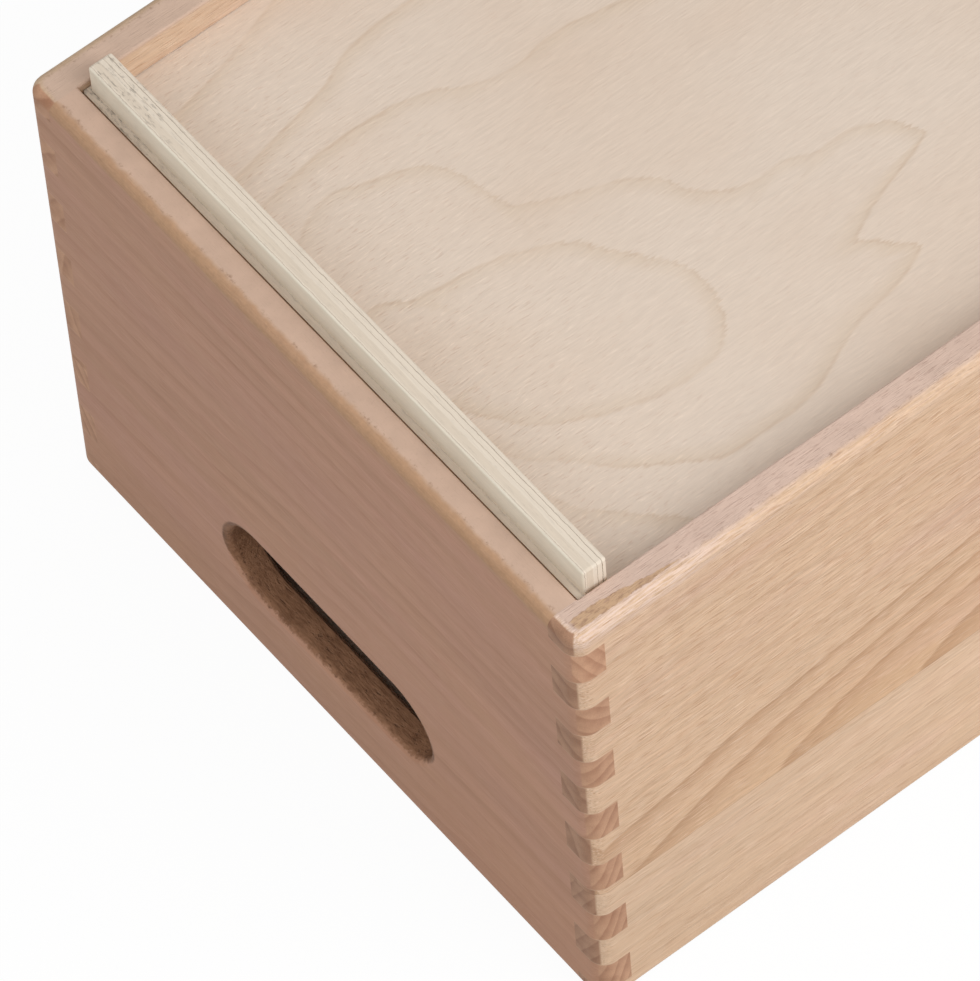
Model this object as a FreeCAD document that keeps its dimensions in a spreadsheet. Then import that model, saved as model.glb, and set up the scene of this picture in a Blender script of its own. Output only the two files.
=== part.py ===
"""Wooden tool box with a sliding plywood lid.

Frame: +Z up, origin on the ground under the middle of the box. +X runs along the box, from
the full-height near end to the low far end. -Y is the right-hand long wall. Millimetres.

The corners are finger joints. Each long wall is glued up from two boards, one above the
other. The lid runs in a groove near the top of each long wall and leaves over the low far
end wall. A stepped batten, screwed to the lid from below, is the grip that moves it. The
plywood floor sits in a groove that runs round all four walls.
"""
import FreeCAD, Part
import math
import os
import Sketcher

PARTS_FOLDER = "parts"
SAME_PLACE = 0.001
QUARTER_TURN = math.pi / 2
HALF_TURN = math.pi

# name: (value, meaning)
SIZES = {
    "box_length": (400.0, "outside, along X"),
    "box_width": (300.0, "outside, along Y"),
    "box_height": (230.0, "outside, ground to rim"),
    "end_thickness": (12.6, "thickness of the two end walls"),
    "long_thickness": (13.8, "thickness of the two long walls"),
    "corner_round": (6.6, "radius of the upright corners"),
    "rim_round": (4.1, "radius of the rim's outer edge"),
    "rim_ease": (0.9, "radius of the rim's inner edge"),
    "ground_round": (2.8, "radius of the outer edge at the ground"),
    "end_fingers": (7, "whole fingers of the near end wall, up each corner"),
    "top_finger": (10.0, "height of the long walls' part finger at the rim"),
    "ground_finger": (6.4, "height of the long walls' part finger at the ground"),
    "glue_line": (69.3, "height of the glue line in the long walls"),
    "groove_gap": (0.4, "room for a panel's thickness in its groove"),
    "groove_depth": (6.5, "depth of the lid and floor grooves"),
    "panel": (6.0, "thickness of the lid and floor plywood"),
    "panel_gap": (0.5, "panel edge to the bottom of its groove"),
    "panel_ease": (0.6, "radius of the lid's leading edges"),
    "slot_length": (114.0, "hand slot, end to end"),
    "slot_height": (38.0, "hand slot, bottom to top"),
    "slot_middle": (53.0, "height of the hand slot's middle"),
    "slot_round": (3.0, "radius of the hand slot's edges outside"),
    "slot_bevel": (1.2, "bevel on the hand slot's edges inside"),
    "lid_pass_gap": (0.4, "lid to the top of the low end wall"),
    "lid_near_gap": (1.5, "closed lid to the near end wall"),
    "lid_far_inset": (1.0, "closed lid back from the far end's outer face"),
    "foot_depth": (12.7, "batten foot, along X"),
    "foot_height": (12.0, "batten foot, above the lid"),
    "foot_gap": (0.4, "batten foot to each long wall"),
    "foot_ease": (1.2, "radius of the batten foot's upright front edges"),
    "grip_front_step": (2.7, "batten grip back from its foot, in front"),
    "grip_end_step": (1.0, "batten grip in from its foot, at each end"),
    "grip_height": (13.0, "batten grip, above its foot"),
    "grip_ease": (1.1, "radius of the batten grip's edges"),
    "screws": (3, "screws along the batten"),
    "screw_spacing": (110.0, "screw to screw"),
    "screw_shank": (3.0, "screw shank diameter"),
    "screw_head": (6.0, "screw head diameter"),
    "screw_length": (20.0, "screw, head face to tip"),
    "screw_point": (4.0, "length of the screw's pointed end"),
    "recess_span": (3.0, "screw's cross recess, end to end of an arm"),
    "recess_arm": (0.7, "width of the cross recess's arms"),
    "recess_depth": (1.1, "depth of the cross recess"),
    "screw_gap": (0.05, "clearance round a screw in its hole"),
}

# Worked-out sizes, each an expression on the sheet.
HALF_LENGTH = "(sizes.box_length / 2)"
HALF_WIDTH = "(sizes.box_width / 2)"
INNER_LENGTH = "(sizes.box_length / 2 - sizes.end_thickness)"
INNER_WIDTH = "(sizes.box_width / 2 - sizes.long_thickness)"
TOP_NOTCH = "(sizes.box_height - sizes.top_finger)"
FINGER = f"(({TOP_NOTCH} - sizes.ground_finger) / (2 * sizes.end_fingers - 1))"
PAIR = f"(2 * {FINGER})"
GROOVE_HEIGHT = "(sizes.panel + sizes.groove_gap)"
LID_GROOVE = f"({TOP_NOTCH} - {FINGER} / 2 - {GROOVE_HEIGHT} / 2)"
FLOOR_GROOVE = f"(sizes.ground_finger + {FINGER} / 2 - {GROOVE_HEIGHT} / 2)"
LOW_RIM = f"({LID_GROOVE} - sizes.lid_pass_gap)"
PANEL_HALF_LENGTH = f"({INNER_LENGTH} + sizes.groove_depth - sizes.panel_gap)"
PANEL_HALF_WIDTH = f"({INNER_WIDTH} + sizes.groove_depth - sizes.panel_gap)"
LID_START = f"(-{INNER_LENGTH} + sizes.lid_near_gap)"
LID_LENGTH = f"({HALF_LENGTH} - sizes.lid_far_inset - {LID_START})"
FOOT_HALF = f"({INNER_WIDTH} - sizes.foot_gap)"
GRIP_HALF = f"({FOOT_HALF} - sizes.grip_end_step)"
BATTEN_HEIGHT = "(sizes.foot_height + sizes.grip_height)"
SCREW_LINE = "(sizes.foot_depth / 2)"
FIRST_SCREW = "(-sizes.screw_spacing * (sizes.screws - 1) / 2)"
SCREW_HOLE = "(sizes.screw_shank + 2 * sizes.screw_gap)"
SCREW_HEAD_HOLE = "(sizes.screw_head + 2 * sizes.screw_gap)"
SCREW_IN_BATTEN = "(sizes.screw_length - sizes.panel + sizes.screw_gap)"
SCREW_HEAD_DEPTH = "((sizes.screw_head - sizes.screw_shank) / 2)"
RECESS_TIP = "(sizes.recess_span / 2)"
RECESS_SIDE = "(sizes.recess_arm / 2)"

doc = FreeCAD.newDocument("sliding_lid_tool_box")
pieces = []


# ------------------------------------------------------------------ the sheet

def fill_sheet():
    """Put every driving size in one sheet, with its name and its meaning beside it."""
    sheet = doc.addObject("Spreadsheet::Sheet", "sizes")
    for row, (name, (value, meaning)) in enumerate(SIZES.items(), start=1):
        sheet.set(f"A{row}", name)
        sheet.set(f"B{row}", str(value))
        sheet.set(f"C{row}", meaning)
        sheet.setAlias(f"B{row}", name)
    doc.recompute()


def value_of(expression):
    """Work out an expression's present value."""
    return float(doc.getObject("sizes").evalExpression(expression))


# ------------------------------------------------------------------ bodies and sketches

def start_body(name, x="0", y="0", z="0", turn=0):
    """Start a piece with its place tied to the sheet. turn is about Z, in degrees."""
    body = doc.addObject("PartDesign::Body", name)
    body.Label = name
    body.Placement.Rotation = FreeCAD.Rotation(FreeCAD.Vector(0, 0, 1), turn)
    for axis, place in (("x", x), ("y", y), ("z", z)):
        body.setExpression(f"Placement.Base.{axis}", place)
    pieces.append(body)
    return body


def own_datum(body, role):
    """Return the body's own origin plane or axis of that role."""
    return next(datum for datum in body.Origin.OriginFeatures if datum.Role == role)


def start_sketch(body, name, plane, offset="0"):
    """Attach a sketch to one of the body's own planes, moved along its normal by offset."""
    sketch = body.newObject("Sketcher::SketchObject", name)
    sketch.AttachmentSupport = [(own_datum(body, plane), "")]
    sketch.MapMode = "FlatFace"
    sketch.setExpression("AttachmentOffset.Base.z", offset)
    return sketch


def sketch_point(across, up):
    """Return the sketch point at two expressions."""
    return FreeCAD.Vector(value_of(across), value_of(up), 0)


def hold_point(sketch, edge, vertex, across, up):
    """Hold an edge's start (1), end (2) or centre (3) at two expressions."""
    for kind, place in (("DistanceX", across), ("DistanceY", up)):
        constraint = Sketcher.Constraint(kind, -1, 1, edge, vertex, value_of(place))
        index = sketch.addConstraint(constraint)
        sketch.setExpression(f"Constraints[{index}]", place)


def add_line(sketch, start, end):
    """Add a straight edge between two points given as pairs of expressions."""
    line = Part.LineSegment(sketch_point(*start), sketch_point(*end))
    return sketch.addGeometry(line, False)


def add_arc(sketch, centre, radius, start, end):
    """Add an arc between two angles, counter-clockwise, and hold its radius."""
    circle = Part.Circle(sketch_point(*centre), FreeCAD.Vector(0, 0, 1), value_of(radius))
    arc = sketch.addGeometry(Part.ArcOfCircle(circle, start, end), False)
    index = sketch.addConstraint(Sketcher.Constraint("Radius", arc, value_of(radius)))
    sketch.setExpression(f"Constraints[{index}]", radius)
    return arc


def join_ends(sketch, kind, edges):
    """Join each edge's end to the next one's start, all the way round."""
    for edge, following in zip(edges, edges[1:] + edges[:1]):
        sketch.addConstraint(Sketcher.Constraint(kind, edge, 2, following, 1))


def draw_outline(sketch, corners):
    """Draw a closed outline of straight edges through corners given as expressions."""
    edges = [add_line(sketch, *ends) for ends in zip(corners, corners[1:] + corners[:1])]
    join_ends(sketch, "Coincident", edges)
    for edge, (across, up) in zip(edges, corners):
        hold_point(sketch, edge, 1, across, up)


def draw_rectangle(sketch, left, right, low, high):
    """Draw a rectangle between four expressions."""
    draw_outline(sketch, [(left, low), (right, low), (right, high), (left, high)])


def draw_slot(sketch, length, height, middle):
    """Draw a level slot with round ends, centred across the sketch."""
    radius = f"({height} / 2)"
    reach = f"({length} / 2 - {radius})"
    top = f"({middle} + {radius})"
    bottom = f"({middle} - {radius})"
    right = add_arc(sketch, (reach, middle), radius, -QUARTER_TURN, QUARTER_TURN)
    roof = add_line(sketch, (reach, top), (f"-{reach}", top))
    left = add_arc(sketch, (f"-{reach}", middle), radius, QUARTER_TURN, HALF_TURN + QUARTER_TURN)
    sill = add_line(sketch, (f"-{reach}", bottom), (reach, bottom))
    join_ends(sketch, "Tangent", [right, roof, left, sill])
    hold_point(sketch, right, 3, reach, middle)
    hold_point(sketch, left, 3, f"-{reach}", middle)


def draw_edge_waste(sketch, height, radius):
    """Draw what rounding takes off a square edge: a square corner less a quarter disc."""
    face = ("0", f"({height} - {radius})")
    corner = ("0", height)
    top = (f"-{radius}", height)
    upright = add_line(sketch, face, corner)
    level = add_line(sketch, corner, top)
    arc = add_arc(sketch, (top[0], face[1]), radius, 0, QUARTER_TURN)
    sketch.addConstraint(Sketcher.Constraint("Coincident", upright, 2, level, 1))
    sketch.addConstraint(Sketcher.Constraint("Coincident", arc, 1, upright, 1))
    sketch.addConstraint(Sketcher.Constraint("Coincident", arc, 2, level, 2))
    hold_point(sketch, upright, 1, *face)
    hold_point(sketch, level, 1, *corner)
    hold_point(sketch, level, 2, *top)


# ------------------------------------------------------------------ features

def pad(body, name, sketch, length):
    """Grow a sketch into wood along its normal."""
    feature = body.newObject("PartDesign::Pad", name)
    feature.Profile = sketch
    feature.setExpression("Length", length)
    doc.recompute()
    return feature


def pocket(body, name, sketch, length=None, along_normal=False):
    """Cut a sketch out of a body, right through both ways where no length is given."""
    before = body.Shape.Volume
    feature = body.newObject("PartDesign::Pocket", name)
    feature.Profile = sketch
    feature.Reversed = along_normal
    if length is None:
        feature.Type = "ThroughAll"
        feature.SideType = "Symmetric"
    else:
        feature.setExpression("Length", length)
    doc.recompute()
    if not body.Shape.Volume < before:
        raise ValueError(f"{body.Label}: {name} cuts nothing")
    return feature


def screw_holes(body, sketch, depth=None, countersunk=False):
    """Drill the row of screw holes upwards, right through where no depth is given."""
    hole = body.newObject("PartDesign::Hole", "screw_hole")
    hole.Profile = sketch
    hole.Reversed = True
    hole.setExpression("Diameter", SCREW_HOLE)
    if countersunk:
        hole.HoleCutType = "Countersink"
        hole.HoleCutCustomValues = True
        hole.HoleCutCountersinkAngle = 90
        hole.setExpression("HoleCutDiameter", SCREW_HEAD_HOLE)
    if depth is None:
        hole.DepthType = "ThroughAll"
    else:
        hole.setExpression("Depth", depth)
        hole.DrillPoint = "Flat"
    doc.recompute()
    row_of_screws(body, [hole])


def repeat(body, name, features, axis, spacing, count, backwards=False):
    """Repeat some features along one of the body's own axes."""
    pattern = body.newObject("PartDesign::LinearPattern", name)
    pattern.Originals = features
    pattern.Direction = (own_datum(body, axis), [""])
    pattern.Reversed = backwards
    pattern.Mode = "Spacing"
    pattern.setExpression("Offset", spacing)
    pattern.setExpression("Occurrences", count)
    body.Tip = pattern
    doc.recompute()


def row_of_screws(body, features):
    """Repeat what belongs to one screw along the batten."""
    repeat(body, "screw_row", features, "Y_Axis", "sizes.screw_spacing", "sizes.screws")


def dress_edges(body, kind, name, size_property, size, wanted):
    """Dress the edges of the body so far that a test picks out."""
    base = body.Tip
    chosen = [
        f"Edge{number}"
        for number, edge in enumerate(base.Shape.Edges, start=1)
        if wanted(edge.BoundBox)
    ]
    feature = body.newObject(kind, name)
    feature.Base = (base, chosen)
    feature.setExpression(size_property, size)
    doc.recompute()


def round_edges(body, name, radius, wanted):
    """Round the edges that a test picks out."""
    dress_edges(body, "PartDesign::Fillet", name, "Radius", radius, wanted)


def bevel_edges(body, name, size, wanted):
    """Bevel the edges that a test picks out, at 45 degrees."""
    dress_edges(body, "PartDesign::Chamfer", name, "Size", size, wanted)


def same(place, expression):
    """Say whether a coordinate is where an expression puts it."""
    return abs(place - value_of(expression)) < SAME_PLACE


def level_at(box, height):
    """Say whether an edge's box lies flat at one height."""
    return same(box.ZMin, height) and same(box.ZMax, height)


def upright(box):
    """Say whether an edge's box belongs to an upright edge."""
    return box.XLength < SAME_PLACE and box.YLength < SAME_PLACE


# ------------------------------------------------------------------ walls

# A long wall's body has its inner face at y = 0 and its outer face one thickness below it.
# An end wall's body has its inner face at x = 0 and its outer face one thickness below it.

def long_board(name, low, high):
    """Start a board of the right long wall, with its two upright outer edges rounded."""
    body = start_body(name, y=f"-{INNER_WIDTH}")
    outline = start_sketch(body, "board_plan", "XY_Plane", low)
    draw_rectangle(outline, f"-{HALF_LENGTH}", HALF_LENGTH, "-sizes.long_thickness", "0")
    pad(body, "board", outline, f"({high} - {low})")
    round_edges(body, "upright_corners", "sizes.corner_round",
                lambda box: upright(box) and same(box.YMin, "-sizes.long_thickness"))
    return body


def cut_notches(body, name, left, right, low, count, downwards):
    """Cut a column of notches for the end wall's fingers, one finger high each."""
    outline = start_sketch(body, f"{name}_outline", "XZ_Plane")
    draw_rectangle(outline, left, right, low, f"({low} + {FINGER})")
    notch = pocket(body, f"{name}_notch", outline)
    repeat(body, f"{name}_notches", [notch], "Z_Axis", PAIR, count, downwards)


def cut_long_groove(body, name, low):
    """Cut a groove for a panel along the whole inner face of a long wall's board."""
    outline = start_sketch(body, f"{name}_outline", "YZ_Plane")
    draw_rectangle(outline, "-sizes.groove_depth", "0", low, f"({low} + {GROOVE_HEIGHT})")
    pocket(body, name, outline)


def upper_board():
    """Make the right wall's upper board: rounded rim, lid groove and finger notches.

    The far end has one notch less, because the low end wall stops below the lid groove.
    """
    body = long_board("right_wall_upper_board", "sizes.glue_line", "sizes.box_height")
    round_edges(body, "rim_outside", "sizes.rim_round",
                lambda box: level_at(box, "sizes.box_height") and not same(box.YMin, "0"))
    waste = start_sketch(body, "rim_inside_outline", "YZ_Plane", f"-{INNER_LENGTH}")
    draw_edge_waste(waste, "sizes.box_height", "sizes.rim_ease")
    pocket(body, "rim_inside", waste, "sizes.box_length", along_normal=True)
    cut_long_groove(body, "lid_groove", LID_GROOVE)
    notches = f"ceil(({TOP_NOTCH} - sizes.glue_line) / {PAIR})"
    cut_notches(body, "near", f"-{HALF_LENGTH}", f"-{INNER_LENGTH}",
                f"({TOP_NOTCH} - {FINGER})", notches, downwards=True)
    cut_notches(body, "far", INNER_LENGTH, HALF_LENGTH,
                f"({TOP_NOTCH} - {FINGER} - {PAIR})", f"({notches} - 1)", downwards=True)
    return body


def lower_board():
    """Make the right wall's lower board: rounded foot, floor groove and finger notches."""
    body = long_board("right_wall_lower_board", "0", "sizes.glue_line")
    round_edges(body, "foot_outside", "sizes.ground_round",
                lambda box: level_at(box, "0") and not same(box.YMin, "0"))
    cut_long_groove(body, "floor_groove", FLOOR_GROOVE)
    notches = f"ceil((sizes.glue_line - sizes.ground_finger) / {PAIR})"
    for name, left, right in (("near", f"-{HALF_LENGTH}", f"-{INNER_LENGTH}"),
                              ("far", INNER_LENGTH, HALF_LENGTH)):
        cut_notches(body, name, left, right, "sizes.ground_finger", notches, downwards=False)
    return body


def mirrored_board(name, board):
    """Make the left wall's board, the mirror image of the right wall's across the box."""
    mirrored = doc.addObject("Part::Mirroring", name)
    mirrored.Label = name
    mirrored.Source = board
    mirrored.Normal = FreeCAD.Vector(0, 1, 0)
    pieces.append(mirrored)


def cut_end_gaps(body, name, low, high):
    """Cut the gaps for the long walls' fingers at both ends of an end wall."""
    outline = start_sketch(body, f"{name}_outline", "YZ_Plane")
    draw_rectangle(outline, f"-{HALF_WIDTH}", f"-{INNER_WIDTH}", low, high)
    draw_rectangle(outline, INNER_WIDTH, HALF_WIDTH, low, high)
    return pocket(body, name, outline)


def end_wall(name, x, turn, top, skipped):
    """Make an end wall up to a top height, with its first few pairs of fingers left out."""
    body = start_body(name, x=x, turn=turn)
    outline = start_sketch(body, "wall_plan", "XY_Plane")
    draw_rectangle(outline, "-sizes.end_thickness", "0", f"-{HALF_WIDTH}", HALF_WIDTH)
    pad(body, "board", outline, top)
    round_edges(body, "upright_corners", "sizes.corner_round",
                lambda box: upright(box) and same(box.XMin, "-sizes.end_thickness"))

    first_finger = f"({TOP_NOTCH} - {skipped} * {PAIR})"
    cut_end_gaps(body, "rim_gap", first_finger, top)
    cut_end_gaps(body, "ground_gap", "0", "sizes.ground_finger")
    gap = cut_end_gaps(body, "finger_gap", f"({first_finger} - {PAIR})",
                       f"({first_finger} - {FINGER})")
    repeat(body, "finger_gaps", [gap], "Z_Axis", PAIR, f"(sizes.end_fingers - 1 - {skipped})",
           backwards=True)

    round_edges(body, "rim_outside", "sizes.rim_round",
                lambda box: level_at(box, top) and same(box.XMax, "-sizes.end_thickness"))
    round_edges(body, "rim_inside", "sizes.rim_ease",
                lambda box: level_at(box, top) and same(box.XMin, "0"))
    round_edges(body, "foot_outside", "sizes.ground_round",
                lambda box: level_at(box, "0") and same(box.XMax, "-sizes.end_thickness"))
    cut_hand_slot(body)
    cut_stopped_groove(body)


def cut_hand_slot(body):
    """Cut the hand slot through an end wall, rounded outside and bevelled inside."""
    outline = start_sketch(body, "hand_slot_outline", "YZ_Plane")
    draw_slot(outline, "sizes.slot_length", "sizes.slot_height", "sizes.slot_middle")
    pocket(body, "hand_slot", outline)
    round_edges(body, "hand_slot_outside", "sizes.slot_round",
                lambda box: of_slot(box) and same(box.XMax, "-sizes.end_thickness"))
    bevel_edges(body, "hand_slot_inside", "sizes.slot_bevel",
                lambda box: of_slot(box) and same(box.XMin, "0"))


def of_slot(box):
    """Say whether an edge's box lies within the hand slot's own outline."""
    lowest = value_of("sizes.slot_middle - sizes.slot_height / 2")
    highest = value_of("sizes.slot_middle + sizes.slot_height / 2")
    reach = value_of("sizes.slot_length / 2")
    return (box.ZMin > lowest - SAME_PLACE and box.ZMax < highest + SAME_PLACE
            and box.YMin > -reach - SAME_PLACE and box.YMax < reach + SAME_PLACE)


def cut_stopped_groove(body):
    """Cut the floor groove, stopped where the panel's corners end inside the fingers."""
    outline = start_sketch(body, "floor_groove_outline", "YZ_Plane")
    reach = f"({INNER_WIDTH} + sizes.groove_depth)"
    draw_rectangle(outline, f"-{reach}", reach, FLOOR_GROOVE,
                   f"({FLOOR_GROOVE} + {GROOVE_HEIGHT})")
    pocket(body, "floor_groove", outline, "sizes.groove_depth")


# ------------------------------------------------------------------ panels, batten and screws

def floor_panel():
    """Make the plywood floor, which reaches into the grooves of all four walls."""
    body = start_body("floor_panel", z=FLOOR_GROOVE)
    outline = start_sketch(body, "panel_plan", "XY_Plane")
    draw_rectangle(outline, f"-{PANEL_HALF_LENGTH}", PANEL_HALF_LENGTH,
                   f"-{PANEL_HALF_WIDTH}", PANEL_HALF_WIDTH)
    pad(body, "panel", outline, "sizes.panel")


def lid_panel():
    """Make the plywood lid, from its closed edge at x = 0, with countersunk screw holes."""
    body = start_body("lid_panel", x=LID_START, z=LID_GROOVE)
    outline = start_sketch(body, "panel_plan", "XY_Plane")
    draw_rectangle(outline, "0", LID_LENGTH, f"-{PANEL_HALF_WIDTH}", PANEL_HALF_WIDTH)
    pad(body, "panel", outline, "sizes.panel")
    round_edges(body, "leading_edges", "sizes.panel_ease",
                lambda box: same(box.XMin, LID_LENGTH) and box.ZLength < SAME_PLACE)
    screw_holes(body, screw_centre(body), countersunk=True)


def grip_batten():
    """Make the batten: a foot across the lid and a narrower grip standing on it."""
    body = start_body("grip_batten", x=LID_START, z=f"({LID_GROOVE} + sizes.panel)")
    foot = start_sketch(body, "foot_plan", "XY_Plane")
    draw_rectangle(foot, "0", "sizes.foot_depth", f"-{FOOT_HALF}", FOOT_HALF)
    pad(body, "foot", foot, "sizes.foot_height")
    round_edges(body, "foot_corners", "sizes.foot_ease",
                lambda box: upright(box) and same(box.XMin, "0"))
    grip = start_sketch(body, "grip_plan", "XY_Plane", "sizes.foot_height")
    draw_rectangle(grip, "sizes.grip_front_step", "sizes.foot_depth", f"-{GRIP_HALF}", GRIP_HALF)
    pad(body, "grip", grip, "sizes.grip_height")
    round_edges(body, "grip_edges", "sizes.grip_ease",
                lambda box: (level_at(box, BATTEN_HEIGHT)
                             or upright(box) and same(box.ZMax, BATTEN_HEIGHT)))
    screw_holes(body, screw_centre(body), depth=SCREW_IN_BATTEN)


def screw_centre(body):
    """Mark the first screw of the row on the underside of a piece."""
    sketch = start_sketch(body, "screw_centre", "XY_Plane")
    circle = Part.Circle(sketch_point(SCREW_LINE, FIRST_SCREW), FreeCAD.Vector(0, 0, 1),
                         value_of("sizes.screw_shank"))
    centre = sketch.addGeometry(circle, False)
    hold_point(sketch, centre, 3, SCREW_LINE, FIRST_SCREW)
    return sketch


def batten_screws():
    """Turn one cross-head countersunk screw and repeat it along the batten, as solids."""
    body = start_body("batten_screws", x=f"({LID_START} + {SCREW_LINE})", y=FIRST_SCREW,
                      z=LID_GROOVE)
    body.AllowCompound = True
    outline = start_sketch(body, "screw_outline", "XZ_Plane")
    draw_outline(outline, [
        ("0", "0"),
        ("(sizes.screw_head / 2)", "0"),
        ("(sizes.screw_shank / 2)", SCREW_HEAD_DEPTH),
        ("(sizes.screw_shank / 2)", "(sizes.screw_length - sizes.screw_point)"),
        ("0", "sizes.screw_length"),
    ])
    screw = body.newObject("PartDesign::Revolution", "screw")
    screw.Profile = outline
    screw.ReferenceAxis = (outline, ["V_Axis"])
    screw.Angle = 360
    doc.recompute()
    cross = start_sketch(body, "recess_outline", "XY_Plane")
    draw_outline(cross, [
        (RECESS_TIP, f"-{RECESS_SIDE}"),
        (RECESS_TIP, RECESS_SIDE),
        (RECESS_SIDE, RECESS_SIDE),
        (RECESS_SIDE, RECESS_TIP),
        (f"-{RECESS_SIDE}", RECESS_TIP),
        (f"-{RECESS_SIDE}", RECESS_SIDE),
        (f"-{RECESS_TIP}", RECESS_SIDE),
        (f"-{RECESS_TIP}", f"-{RECESS_SIDE}"),
        (f"-{RECESS_SIDE}", f"-{RECESS_SIDE}"),
        (f"-{RECESS_SIDE}", f"-{RECESS_TIP}"),
        (RECESS_SIDE, f"-{RECESS_TIP}"),
        (RECESS_SIDE, f"-{RECESS_SIDE}"),
    ])
    recess = pocket(body, "cross_recess", cross, "sizes.recess_depth", along_normal=True)
    row_of_screws(body, [screw, recess])


# ------------------------------------------------------------------ the whole box

def check_model():
    """Stop at the first failed feature or bad shape, before anything is written."""
    for item in doc.Objects:
        if {"Invalid", "Error"} & set(item.State):
            raise ValueError(f"{item.Label}: {item.State}")
    for piece in pieces:
        if piece.Shape.isNull() or not piece.Shape.isValid():
            raise ValueError(f"{piece.Label}: bad shape")


def write_pieces():
    """Write each piece to a STEP file named after it."""
    os.makedirs(PARTS_FOLDER, exist_ok=True)
    for piece in pieces:
        piece.Shape.exportStep(os.path.join(PARTS_FOLDER, f"{piece.Label}.step"))
        print(piece.Label, len(piece.Shape.Solids), round(piece.Shape.Volume, 1))


fill_sheet()
end_wall("near_end_wall", f"-{INNER_LENGTH}", 0, "sizes.box_height", "0")
end_wall("far_end_wall", INNER_LENGTH, 180, LOW_RIM, "1")
mirrored_board("left_wall_upper_board", upper_board())
mirrored_board("left_wall_lower_board", lower_board())
floor_panel()
lid_panel()
grip_batten()
batten_screws()
doc.recompute()
check_model()
write_pieces()
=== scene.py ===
"""Woods, metal, light and camera for the wooden tool box with a sliding plywood lid.

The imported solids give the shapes. Each material below is a set of formulas on the piece's own
place, written in millimetres in the box's frame: +Z up, the origin on the ground under the
middle of the box, +X from the near end wall to the low far end wall, -Y the right long wall.
"""
import math

import bpy
from mathutils import Matrix, Vector


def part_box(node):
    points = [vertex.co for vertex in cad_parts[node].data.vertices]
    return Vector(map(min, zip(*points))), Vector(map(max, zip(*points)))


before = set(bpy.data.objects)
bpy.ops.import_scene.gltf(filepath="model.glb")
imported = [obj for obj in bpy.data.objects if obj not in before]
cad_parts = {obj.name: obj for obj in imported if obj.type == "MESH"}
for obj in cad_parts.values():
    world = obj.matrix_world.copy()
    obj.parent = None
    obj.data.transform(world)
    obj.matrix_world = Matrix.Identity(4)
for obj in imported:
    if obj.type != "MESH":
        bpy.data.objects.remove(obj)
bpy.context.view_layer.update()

PER_METRE = 1000.0

# ------------------------------------------------------------------ places on the box, in mm


def node_box(node):
    """Return a node's lowest and highest corner in millimetres."""
    low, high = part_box(node)
    return low * PER_METRE, high * PER_METRE


RIGHT_LOW, RIGHT_HIGH = node_box("right_wall_upper_board")
LID_LOW, LID_HIGH = node_box("lid_panel")
BATTEN_LOW, BATTEN_HIGH = node_box("grip_batten")
FLOOR_LOW, FLOOR_HIGH = node_box("floor_panel")

HALF_LENGTH = RIGHT_HIGH.x
HALF_WIDTH = -RIGHT_LOW.y
RIM = RIGHT_HIGH.z
GLUE_LINE = RIGHT_LOW.z

# Sizes of roundings, fingers, slots and batten, as the part has them.
CORNER_ROUND = 6.6
RIM_ROUND = 4.1
TOP_FINGER = 10.0
GROUND_FINGER = 6.4
END_FINGERS = 7
FINGER = (RIM - TOP_FINGER - GROUND_FINGER) / (2 * END_FINGERS - 1)
SLOT_MIDDLE = 53.0
SLOT_RADIUS = 19.0
SLOT_HALF_LENGTH = 57.0
SLOT_REACH = SLOT_HALF_LENGTH - SLOT_RADIUS
GRIP_STEP = 2.7
FOOT_HEIGHT = 12.0


# ------------------------------------------------------------------ fields and finishes

def display(red, green, blue):
    """Turn a colour written as a screen shows it, 0 to 255, into the shader's linear one."""
    def linear(level):
        share = level / 255
        return share / 12.92 if share <= 0.04045 else ((share + 0.055) / 1.055) ** 2.4
    return (linear(red), linear(green), linear(blue), 1.0)


class Field:
    """A number that varies over a surface: one output socket, with arithmetic on it."""

    def __init__(self, finish, socket):
        self.finish = finish
        self.socket = socket

    def work(self, operation, *others):
        return self.finish.math(operation, self, *others)

    def __add__(self, other):
        return self.work("ADD", other)

    def __sub__(self, other):
        return self.work("SUBTRACT", other)

    def __rsub__(self, other):
        return self.finish.math("SUBTRACT", other, self)

    def __mul__(self, other):
        return self.work("MULTIPLY", other)

    def __truediv__(self, other):
        return self.work("DIVIDE", other)

    def __pow__(self, other):
        return self.work("POWER", other)

    def __abs__(self):
        return self.work("ABSOLUTE")

    __radd__ = __add__
    __rmul__ = __mul__

    def root(self):
        return self.work("SQRT")

    def tanh(self):
        return self.work("TANH")

    def part(self):
        """What is left above the whole number below."""
        return self.work("FRACT")

    def whole(self):
        """The whole number below."""
        return self.work("FLOOR")

    def at_least(self, other):
        return self.work("MAXIMUM", other)

    def at_most(self, other):
        return self.work("MINIMUM", other)

    def rise(self, low, high):
        """Climb smoothly from 0 at low to 1 at high."""
        return self.finish.remap(self, low, high)

    def fall(self, low, high):
        """Drop smoothly from 1 at low to 0 at high."""
        return 1 - self.rise(low, high)

    def near(self, middle, reach):
        """1 at a middle value and 0 from reach away from it."""
        return abs(self - middle).fall(0, reach)


def hypot(across, up):
    """The length of a two-part distance."""
    return (across * across + up * up).root()


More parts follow.
